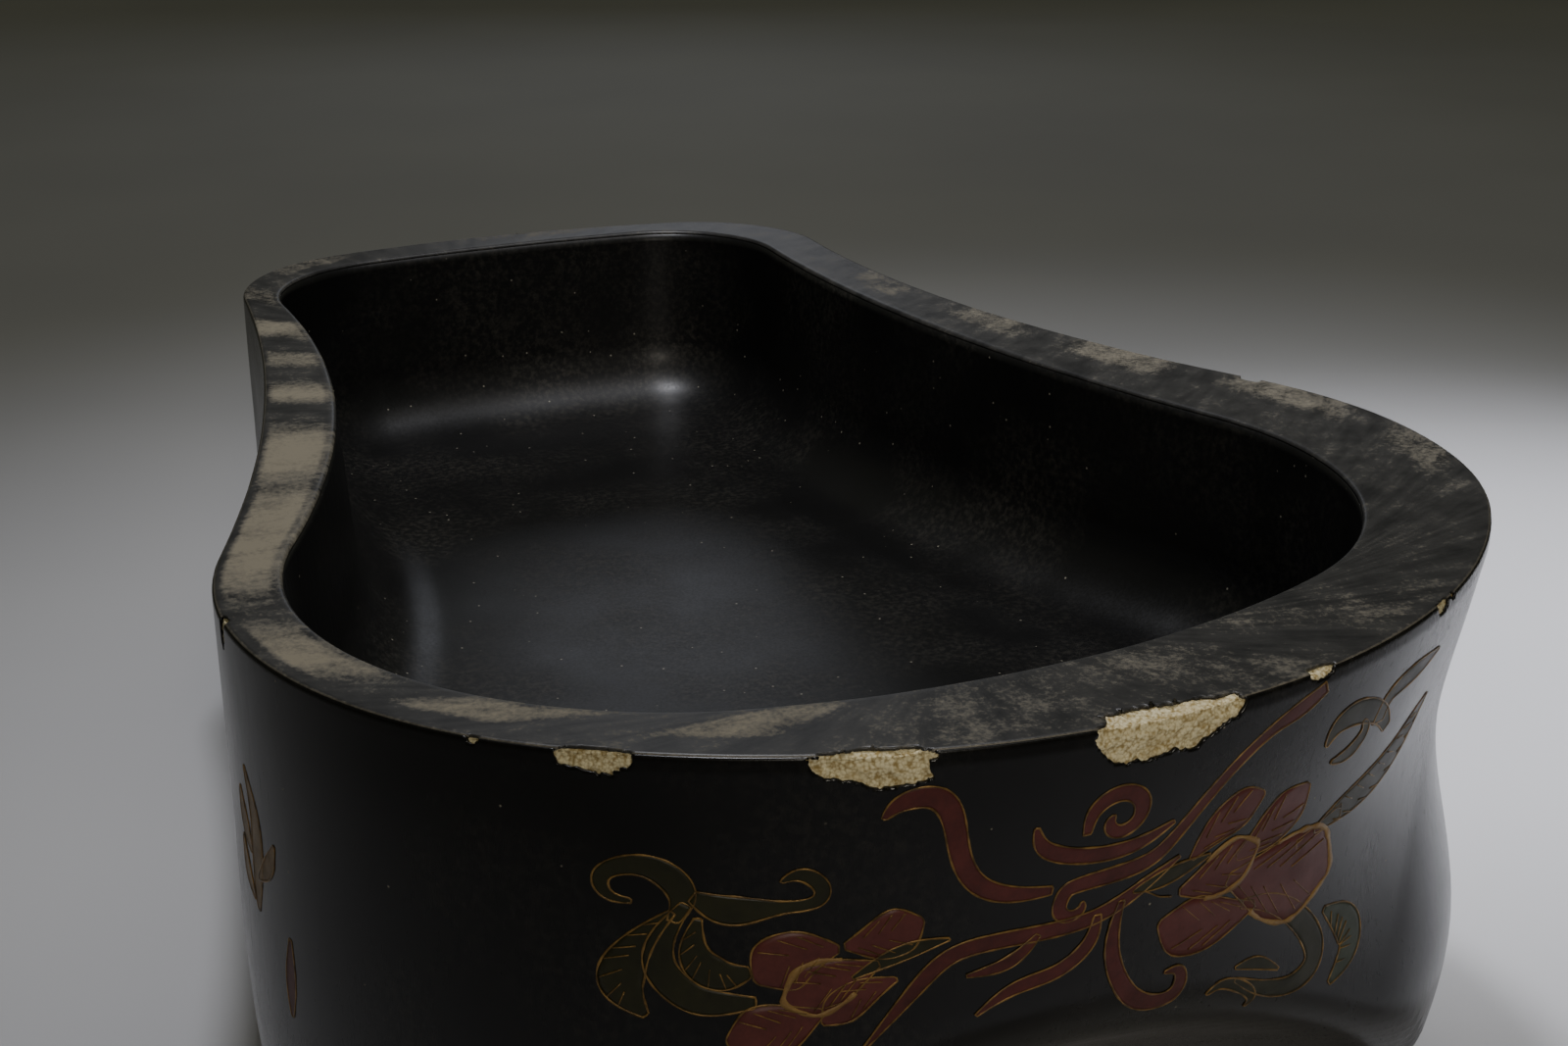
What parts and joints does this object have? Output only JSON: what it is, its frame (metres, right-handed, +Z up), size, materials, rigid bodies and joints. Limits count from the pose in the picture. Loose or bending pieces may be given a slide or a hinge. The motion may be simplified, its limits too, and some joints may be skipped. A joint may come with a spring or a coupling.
{
  "type": "go stone bowl",
  "caption": "Open black-lacquered bowl with a gourd-shaped plan, thick flat rim, deep flat-floored cavity and inlaid floral motifs.",
  "frame": {"origin": "under the middle of the plan, on the surface the foot stands on", "axes": "+Z up, +Y towards the narrow end, along the length, +X to the thick-walled lobe"},
  "size_m": [0.1824, 0.2559, 0.092],
  "materials": {
    "camphor_wood": "planed wood, hidden inside",
    "bamboo": "split bamboo pins",
    "hemp_cloth": "coarse hemp cloth set in raw lacquer",
    "ash_ground": "granular ash and lacquer ground, cream where it is chipped",
    "black_lacquer": "polished black lacquer",
    "worn_rim_lacquer": "dull worn lacquer with dust and scratches",
    "foot_lacquer": "dull olive-black lacquer on wood",
    "red_lacquer": "muted red filled-in lacquer with incised gilt outline",
    "rose_lacquer": "rose filled-in lacquer with incised gilt outline",
    "olive_lacquer": "olive filled-in lacquer with incised gilt outline",
    "gold_lacquer": "dull gold filled-in lacquer"
  },
  "bodies": {
    "root": {"core_wall_left": "camphor_wood", "core_wall_right": "camphor_wood", "core_floor_block": "camphor_wood", "core_base_board": "camphor_wood", "seam_dowels": "bamboo", "wall_pegs": "bamboo", "base_pegs": "bamboo", "foot_plate": "foot_lacquer", "hemp_cloth_wrap": "hemp_cloth", "ash_ground_outer": "ash_ground", "ash_ground_inner": "ash_ground", "ash_ground_rim": "ash_ground", "underside_coat": "foot_lacquer", "lacquer_outer": "black_lacquer", "lacquer_inner": "black_lacquer", "lacquer_rim": "worn_rim_lacquer", "inlay_cloud_ribbon": "red_lacquer", "inlay_blossom_left": "rose_lacquer", "inlay_blossom_right": "rose_lacquer", "inlay_leaf_left": "olive_lacquer", "inlay_leaf_upper_right": "olive_lacquer", "inlay_leaf_lower_right": "olive_lacquer", "inlay_spray_left_side": "gold_lacquer", "inlay_petal_left_side": "red_lacquer"}
  },
  "joints": []
}
